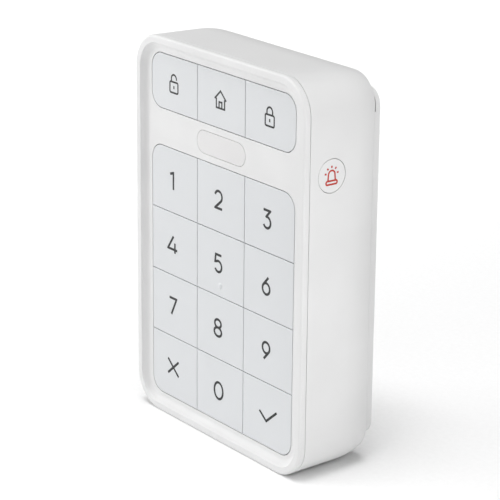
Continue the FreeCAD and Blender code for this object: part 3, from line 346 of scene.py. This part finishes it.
def chip_package():
    """Epoxy resin filled with glass, moulded: charcoal and matt, with pale specks. The real
    specks are 0.05 mm, and are drawn at 0.15 mm so that they show."""
    speck = 0.15
    finish, tree, place = new_finish("epoxy_moulded_glass_filled_charcoal")
    glass = add(tree, "TexNoise", {"Scale": per(speck), "Detail": 2.0}, {"Vector": place})
    tone = add(tree, "ValToRGB", {"stops": [(0.6, "#222224"), (0.72, "#3C3C3E")]}, {"Fac": glass})
    skin = add(tree, "Bump", {"Distance": 0.006 * MM}, {"Height": glass})
    shader = add(tree, "BsdfPrincipled", {"IOR": 1.55, "Roughness": 0.62},
                 {"Base Color": tone, "Normal": skin})
    add(tree, "OutputMaterial", {}, {"Surface": shader})
    return finish


def bands(borders, colours, length):
    """Stops of a colour ramp that give each band its own colour, with sharp borders. Borders
    are mm from the start of the length."""
    half_fade = 0.05
    stops = [(0.0, colours[0])]
    for border, before, after in zip(borders, colours, colours[1:]):
        stops += [((border - half_fade) / length, before),
                  ((border + half_fade) / length, after)]
    return stops


def cell_sleeve(node, nub_up):
    """Printed film shrunk on a nickel-plated can: a slate sleeve with one pale band near the
    nub's end, glossy with slight wrinkles, and bare metal at both ends."""
    bare_end, band_from, band_to, bare_nub = 0.7, 14.0, 11.5, 1.9     # mm from the nearer end
    wrinkle_gap = 0.8
    slate, pale, nickel = "#4D5862", "#C9CED2", "#D5D1C6"
    low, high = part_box(node)
    length = (high.z - low.z) / MM
    flat_end, nub_end = (low.z, high.z) if nub_up else (high.z, low.z)
    finish, tree, place = new_finish("film_printed_slate_on_" + node)
    height = add(tree, "SeparateXYZ", {}, {"Vector": place}).outputs["Z"]
    along = add(tree, "MapRange", {"From Min": flat_end, "From Max": nub_end}, {"Value": height})
    borders = [bare_end, length - band_from, length - band_to, length - bare_nub]
    tone = add(tree, "ValToRGB", {"stops": bands(
        borders, [nickel, slate, pale, slate, nickel], length)}, {"Fac": along})
    metal = add(tree, "ValToRGB", {"stops": bands(
        [borders[0], borders[-1]], ["#FFFFFF", "#000000", "#FFFFFF"], length)}, {"Fac": along})
    wrinkle = add(tree, "TexNoise", {"Scale": per(wrinkle_gap), "Detail": 2.0},
                  {"Vector": place})
    gloss = add(tree, "MapRange", {"To Min": 0.24, "To Max": 0.34}, {"Value": wrinkle})
    film = add(tree, "Bump", {"Distance": 0.004 * MM}, {"Height": wrinkle})
    shader = add(tree, "BsdfPrincipled", {"Coat Weight": 0.35, "Coat Roughness": 0.12},
                 {"Base Color": tone, "Metallic": metal, "Roughness": gloss, "Normal": film})
    add(tree, "OutputMaterial", {}, {"Surface": shader})
    return finish


# ---- metals ----------------------------------------------------------------------------------
def worked_metal(name, light, dark, rough, lines):
    """Metal with fine lines 0.25 mm apart, drawn out along one axis by the rolls or the die,
    and a slow stain from handling, some 7 mm across. lines gives how far each axis is drawn
    out. The lines are a little smoother or rougher than the sheet as a whole."""
    line_gap, stain_gap = 0.25, 7
    smoother, rougher = 0.06, 0.08
    finish, tree, place = new_finish(name)
    drawn = add(tree, "Mapping", {"Scale": [1 / stretch for stretch in lines]}, {"Vector": place})
    marks = add(tree, "TexNoise", {"Scale": per(line_gap), "Detail": 3.0}, {"Vector": drawn})
    stain = add(tree, "TexNoise", {"Scale": per(stain_gap), "Detail": 2.0}, {"Vector": place})
    tone = add(tree, "ValToRGB", {"stops": [(0.3, light), (0.7, dark)]}, {"Fac": stain})
    gloss = add(tree, "MapRange",
                {"From Min": 0.3, "From Max": 0.7, "To Min": rough - smoother,
                 "To Max": rough + rougher}, {"Value": marks})
    skin = add(tree, "Bump", {"Distance": 0.004 * MM}, {"Height": marks})
    shader = add(tree, "BsdfPrincipled", {"Metallic": 1.0},
                 {"Base Color": tone, "Roughness": gloss, "Normal": skin})
    add(tree, "OutputMaterial", {}, {"Surface": shader})
    return finish


def tinned_steel():
    """Tinned steel sheet, pressed: grey-white and softly bright, rolled along X."""
    return worked_metal("steel_pressed_tinned", "#D2D1CC", "#BFBEBA", 0.32, (30, 1, 1))


def nickel_spring():
    """Spring steel, nickel-plated: warmer and brighter than tin, and drawn along Z."""
    return worked_metal("spring_steel_nickel_plated", "#DAD5C9", "#C8C2B5", 0.24, (1, 1, 30))


def zinc_screw():
    """Steel, cold-headed and zinc-plated: pale grey with a bluish cast."""
    return worked_metal("steel_cold_headed_zinc_plated", "#C9CDD1", "#B4B9BF", 0.34, (1, 8, 1))


# ---- ink, and the table of finishes ----------------------------------------------------------
def printing_ink(name, dark, light):
    """Two-part ink, pad-printed: a thin half-matt film, with a cover that is slightly uneven
    every 0.5 mm."""
    cover_gap = 0.5
    finish, tree, place = new_finish(name)
    cover = add(tree, "TexNoise", {"Scale": per(cover_gap), "Detail": 2.0}, {"Vector": place})
    tone = add(tree, "ValToRGB", {"stops": [(0.3, dark), (0.7, light)]}, {"Fac": cover})
    gloss = add(tree, "MapRange", {"To Min": 0.4, "To Max": 0.58}, {"Value": cover})
    film = add(tree, "Bump", {"Distance": 0.002 * MM}, {"Height": cover})
    shader = add(tree, "BsdfPrincipled", {"IOR": 1.5},
                 {"Base Color": tone, "Roughness": gloss, "Normal": film})
    add(tree, "OutputMaterial", {}, {"Surface": shader})
    return finish


# Finish of each material slot in the record. The two cells have a sleeve each.
FINISHES = {
    "housing_abs": white_housing, "bracket_abs": white_bracket, "key_plastic": cool_white_key,
    "button_plastic": white_button, "window_plastic": opal_window, "guide_plastic": frosted_guide,
    "frame_plastic": ivory_frame, "component_black": black_component, "led_resin": lamp_resin,
    "silicone": grey_silicone, "carbon_rubber": carbon_pill, "foam_tape": foam_tape,
    "board_laminate": green_board, "chip_resin": chip_package, "tinned_steel": tinned_steel,
    "contact_steel": nickel_spring, "screw_steel": zinc_screw,
}


def dress_nodes():
    """Puts the finish of its slot on each CAD node. The cells stand head to tail, with the nub
    of the right one up."""
    made = {slot: finish() for slot, finish in FINISHES.items()}
    for part in frame["record"]["subparts"]:
        node, slot = part["node"], part["material_slot"]
        if slot == "cell_jacket":
            finish = cell_sleeve(node, nub_up=node == "battery_cell_right")
        else:
            finish = made[slot]
        slots = frame["nodes"][node].data.materials
        slots.clear()
        slots.append(finish)


# ---- printed artwork -------------------------------------------------------------------------
def arc(x, z, radius_x, radius_z, start, end):
    """Points on an ellipse, from start to end in degrees, counted from +X towards +Z."""
    count = max(2, math.ceil(abs(end - start) / ARC_STEP))
    angles = [math.radians(start + (end - start) * i / count) for i in range(count + 1)]
    return [(x + radius_x * math.cos(a), z + radius_z * math.sin(a)) for a in angles]


def rounded_box(x, z, half_w, half_h, radius):
    """Closed outline with round corners."""
    outline = []
    for side_x, side_z, start in ((1, 1, 0), (-1, 1, 90), (-1, -1, 180), (1, -1, 270)):
        outline += arc(x + side_x * (half_w - radius), z + side_z * (half_h - radius),
                       radius, radius, start, start + 90)
    return outline + outline[:1]


def stroke_pieces(path, width):
    """Flat polygons that cover a stroke: a bar for each run and a mitre for each bend."""
    points = [Vector(p) for p in path]
    half = width / 2
    runs = [(a, b, (b - a).normalized()) for a, b in zip(points, points[1:])]
    pieces = []
    for a, b, way in runs:
        side = Vector((-way.y, way.x)) * half
        pieces.append([a + side, a - side, b - side, b + side])
    closed = (points[0] - points[-1]).length < CLOSE_GAP
    following = runs[1:] + runs[:1] if closed else runs[1:]
    for (_, bend, before), (_, _, after) in zip(runs, following):
        turn = before.cross(after)
        if abs(turn) < STRAIGHT:
            continue
        out = -math.copysign(half, turn)
        first = Vector((-before.y, before.x)) * out
        second = Vector((-after.y, after.x)) * out
        middle = (first + second).normalized()
        tip = middle * half * min(half / middle.dot(first), MITRE_LIMIT)
        mitre = [bend, bend + first, bend + tip, bend + second]
        pieces.append(mitre if turn > 0 else mitre[::-1])
    return pieces


def print_artwork(name, paths, width, face, ink, body):
    """Prints strokes on a face. The face is its origin, its direction of reading and the way
    out of it. All strokes join to one flat shape, whose lower and upper copies and the walls
    between them close round the ink."""
    origin, right, out = face
    up = out.cross(right)
    corners, polygons = [], []
    for path in paths:
        for piece in stroke_pieces(path, width):
            polygons.append(range(len(corners), len(corners) + len(piece)))
            corners += piece
    spots, _, triangles, _, _, sources = delaunay_2d_cdt(corners, [], polygons, INSIDE_ONLY,
                                                         WELD_GAP)
    triangles = [triangle for triangle, source in zip(triangles, sources) if source]
    in_use = sorted({i for triangle in triangles for i in triangle})
    number = {spot: i for i, spot in enumerate(in_use)}
    flat = [[number[i] for i in triangle] for triangle in triangles]
    lower = [origin + (right * spots[i].x + up * spots[i].y - out * INK_SINK) * MM
             for i in in_use]
    upper = [corner + out * (INK_T + INK_SINK) * MM for corner in lower]
    rise = len(lower)
    faces = [triangle[::-1] for triangle in flat]
    faces += [[i + rise for i in triangle] for triangle in flat]
    # An edge that no neighbour has the other way round lies on the outline, and gets a wall. A
    # dict keeps the edges in order, so that the mesh is the same each time.
    edges = dict.fromkeys((triangle[i - 1], triangle[i]) for triangle in flat for i in range(3))
    faces += [(a, b, b + rise, a + rise) for a, b in edges if (b, a) not in edges]
    data = bpy.data.meshes.new(name)
    data.from_pydata(lower + upper, [], faces)
    data.materials.append(ink)
    piece = bpy.data.objects.new(name, data)
    bpy.context.scene.collection.objects.link(piece)
    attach(piece, body)


def figures():
    """Strokes of the figures, the cross and the tick. x runs from the figure's left stroke, and
    z from its middle. A number before w, top, foot or mid is a share of the width, of the way up
    or down, or of half the width, and the last two of an arc are degrees."""
    w, top = FIGURE_W, FIGURE_H / 2
    foot, mid = -top, w / 2
    hook = 0.95 * mid                 # radius of the open hook of the 2
    bowl = 0.94 * mid                 # radius of the round bowl of the 3, 5, 6 and 9
    bowl_z = foot + bowl
    stem_x = 0.79 * w                 # the stem of the 6 starts here and runs on to its bowl
    reach = math.hypot(stem_x - mid, top - bowl_z)
    touch = math.degrees(math.atan2(top - bowl_z, stem_x - mid) + math.acos(bowl / reach))
    six = [(stem_x, top)] + arc(mid, bowl_z, bowl, bowl, touch, touch + 360)
    upper = 0.24 * FIGURE_H           # half heights of the two loops of the 8
    lower = FIGURE_H / 2 - upper
    one_x, bar_z, post_x = 0.6 * w, -0.58 * top, 0.8 * w
    return {
        "1": [[(0.13 * w, 0.78 * top), (one_x, top), (one_x, foot)]],
        "2": [arc(mid, top - hook, hook, hook, 165, -50) + [(0.04 * w, foot), (w, foot)]],
        "3": [[(0.05 * w, top), (0.93 * w, top), (0.42 * w, bowl_z + bowl)]
              + arc(mid, bowl_z, bowl, bowl, 88, -152)],
        "4": [[(0.6 * w, top), (-0.2 * w, bar_z), (1.13 * w, bar_z)],
              [(post_x, 0.22 * top), (post_x, foot)]],
        "5": [[(0.94 * w, top), (0.16 * w, top), (0.07 * w, 0.12 * top)]
              + arc(mid, bowl_z, bowl, bowl, 122, -152)],
        "6": [six],
        "7": [[(0, top), (1.02 * w, top), (0.28 * w, foot)]],
        "8": [arc(mid, foot + lower, mid, lower, 90, 450),
              arc(mid, top - upper, 0.87 * mid, upper, -90, 270)],
        "9": [[(w - x + NINE_SHIFT, -z) for x, z in six]],
        "0": [arc(0.64 * w, 0, 0.59 * w, top, 0, 360)],
        "cancel": [[(-0.24 * w, 0.92 * top), (1.32 * w, 0.92 * foot)],
                   [(-0.24 * w, 0.92 * foot), (1.32 * w, 0.92 * top)]],
        "confirm": [[(-0.2 * w, 0.24 * top), (0.72 * w, 0.7 * foot), (2.09 * w, 0.86 * top)]],
    }


def padlock(is_open):
    """Padlock with a keyhole. Its shackle ends in the body on both sides, or only on the left."""
    body_top, half_w, half_h, corner_r = 0.55, 2.0, 1.6, 0.5
    arch_z, arch_r, open_drop = 1.45, 1.25, 0.25
    hole_top, hole_foot = -0.6, -1.5
    shackle_end = arch_z - open_drop if is_open else body_top
    body = rounded_box(0, body_top - half_h, half_w, half_h, corner_r)
    shackle = [(-arch_r, body_top)] + arc(0, arch_z, arch_r, arch_r, 180, 0)
    keyhole = [(0, hole_top), (0, hole_foot)]
    return [body, shackle + [(arch_r, shackle_end)], keyhole]


def house():
    """House with a wide roof and a door."""
    eaves, ridge, ground, wall = 0.35, 2.55, -2.45, 1.95
    overhang, droop = 0.75, 0.3
    door, lintel = 0.65, -0.65
    roof = [(-wall - overhang, eaves - droop), (0, ridge), (wall + overhang, eaves - droop)]
    walls = [(-wall, eaves), (-wall, ground), (wall, ground), (wall, eaves)]
    doorway = [(-door, ground), (-door, lintel), (door, lintel), (door, ground)]
    return [roof, walls, doorway]


def beacon():
    """Warning beacon: a dome on a foot, with five rays."""
    dome_z, dome_r, dome_foot, dome_end = 0.0, 1.15, 1.3, 8
    foot_z, foot_half_w, foot_half_h, foot_r = -1.75, 1.95, 0.5, 0.45
    ray_from, ray_to, ray_angles = 1.85, 2.5, (10, 50, 90, 130, 170)
    dome = ([(-dome_foot, foot_z)] + arc(0, dome_z, dome_r, dome_r, 180 - dome_end, dome_end)
            + [(dome_foot, foot_z)])
    foot = rounded_box(0, foot_z - foot_half_h, foot_half_w, foot_half_h, foot_r)
    rays = [[arc(0, dome_z, r, r, angle, angle)[0] for r in (ray_from, ray_to)]
            for angle in ray_angles]
    return [dome, foot] + rays


def print_keys(ink):
    """Figures and signs on the twelve pad keys, pictograms on the three mode keys. The 5's box
    takes in its raised dot, so all faces lie at the depth of the 1's."""
    face_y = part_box("key_1")[0].y
    right, out = Vector((1, 0, 0)), Vector((0, -1, 0))
    artwork = {"unlock": padlock(True), "home": house(), "lock": padlock(False), **figures()}
    for key, paths in artwork.items():
        low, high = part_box("key_" + key)
        shift_x, shift_z = FIGURE_LEFT, -FIGURE_DROP
        stroke = SIGN_STROKE
        if key.isdigit():
            stroke = FIGURE_STROKE
        if key in ("unlock", "home", "lock"):
            shift_x, shift_z = PICTOGRAM_SHIFT
            stroke = PICTOGRAM_STROKE
        if key == "5":
            shift_z += FIVE_LIFT
        origin = Vector(((low.x + high.x) / 2 + shift_x * MM, face_y,
                         (low.z + high.z) / 2 + shift_z * MM))
        print_artwork("print_" + key, paths, stroke, (origin, right, out),
                      ink, "key_" + key + "_cap")


def print_button(ink):
    """Beacon on the alarm button. The face slopes a little with the side wall, so its plane
    comes from the button's outermost flat."""
    sideways = 0.9                    # a face whose normal has this much X faces the side
    flats = [p for p in frame["nodes"]["panic_button"].data.polygons if p.normal.x > sideways]
    flat = max(flats, key=lambda p: p.center.x)
    out = flat.normal.copy()
    low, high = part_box("panic_button")
    origin = Vector((flat.center.x, (low.y + high.y) / 2 + BEACON_SHIFT[0] * MM,
                     (low.z + high.z) / 2 + BEACON_SHIFT[1] * MM))
    origin.x -= (origin - flat.center).dot(out) / out.x
    right = Vector((0, 0, 1)).cross(out).normalized()
    print_artwork("print_beacon", beacon(), BEACON_STROKE, (origin, right, out),
                  ink, "panic")


# ---- floor, light and camera -----------------------------------------------------------------
def lay_floor():
    """Chipboard, rolled with matt white paint: bright, with a faint orange peel 1.5 mm across."""
    peel_gap = 1.5
    finish, tree, place = new_finish("chipboard_rolled_matt_white")
    peel = add(tree, "TexNoise", {"Scale": per(peel_gap), "Detail": 2.0}, {"Vector": place})
    tone = add(tree, "ValToRGB", {"stops": [(0.3, "#F6F6F6"), (0.7, "#F3F3F3")]}, {"Fac": peel})
    shader = add(tree, "BsdfPrincipled", {"Roughness": 0.9, "IOR": 1.45}, {"Base Color": tone})
    add(tree, "OutputMaterial", {}, {"Surface": shader})
    reach, z = FLOOR_REACH * MM, cad_low.z
    corners = [(-reach, -reach, z), (reach, -reach, z), (reach, reach, z), (-reach, reach, z)]
    data = bpy.data.meshes.new("floor")
    data.from_pydata(corners, [], [(0, 1, 2, 3)])
    data.materials.append(finish)
    floor = bpy.data.objects.new("floor", data)
    bpy.context.scene.collection.objects.link(floor)


def hang_softbox(name, place, target, width, height, spread, watts):
    """Softbox at a place, aimed at a target. Only its light shows, not the box itself."""
    data = bpy.data.lights.new("softbox_" + name, "AREA")
    data.shape = "RECTANGLE"
    data.size, data.size_y, data.energy = width * MM, height * MM, watts
    data.spread = math.radians(spread)
    lamp = bpy.data.objects.new("softbox_" + name, data)
    turn = (target - place).to_track_quat("-Z", "Y").to_matrix().to_4x4()
    lamp.matrix_world = Matrix.Translation(place) @ turn
    lamp.visible_camera = False
    bpy.context.scene.collection.objects.link(lamp)


def light_studio():
    """Softboxes round the keypad, two narrow ones at its right-hand wall, a diffuser overhead
    and an even room light. The view transform keeps whites as they are."""
    middle = (cad_low + cad_high) / 2
    for name, (azimuth, elevation, side, watts) in SOFTBOXES.items():
        a, e = math.radians(azimuth), math.radians(elevation)
        out = Vector((math.sin(a) * math.cos(e), -math.cos(a) * math.cos(e), math.sin(e)))
        hang_softbox(name, middle + out * BOX_DISTANCE * MM, middle, side, side, NO_GRID, watts)
    for name, (place, target, width, height, spread, watts) in AIMED_BOXES.items():
        hang_softbox(name, Vector(place) * MM, Vector(target) * MM, width, height, spread, watts)
    data = bpy.data.lights.new("diffuser", "SUN")
    data.angle, data.energy = math.radians(DIFFUSER_DISC), DIFFUSER_POWER
    diffuser = bpy.data.objects.new("diffuser", data)
    diffuser.matrix_world = Matrix.Rotation(math.radians(DIFFUSER_TILT), 4, "X")
    bpy.context.scene.collection.objects.link(diffuser)
    room = bpy.data.worlds.new("room")
    room.use_nodes = True
    light = room.node_tree.nodes["Background"].inputs
    light["Color"].default_value = linear("#FFFFFF")
    light["Strength"].default_value = ROOM_LIGHT
    bpy.context.scene.world = room
    bpy.context.scene.view_settings.view_transform = "Standard"


def place_camera():
    """Long lens that looks down on the keys from their right."""
    yaw, pitch, roll = (math.radians(a) for a in (CAMERA_YAW, CAMERA_PITCH, CAMERA_ROLL))
    turn = (Matrix.Rotation(yaw, 4, "Z") @ Matrix.Rotation(math.pi / 2 - pitch, 4, "X")
            @ Matrix.Rotation(roll, 4, "Z"))
    data = bpy.data.cameras.new("camera")
    data.sensor_width, data.lens = CAMERA_SENSOR, CAMERA_LENS
    data.clip_start, data.clip_end = CAMERA_NEAR * MM, CAMERA_FAR * MM
    camera = bpy.data.objects.new("camera", data)
    camera.matrix_world = Matrix.Translation(Vector(CAMERA_PLACE) * MM) @ turn
    bpy.context.scene.collection.objects.link(camera)
    bpy.context.scene.camera = camera


place_camera()
light_studio()
lay_floor()
dress_nodes()
print_keys(printing_ink("ink_pad_printed_charcoal", "#0E0E10", "#161619"))
print_button(printing_ink("ink_pad_printed_red", "#B02A1B", "#BB3424"))
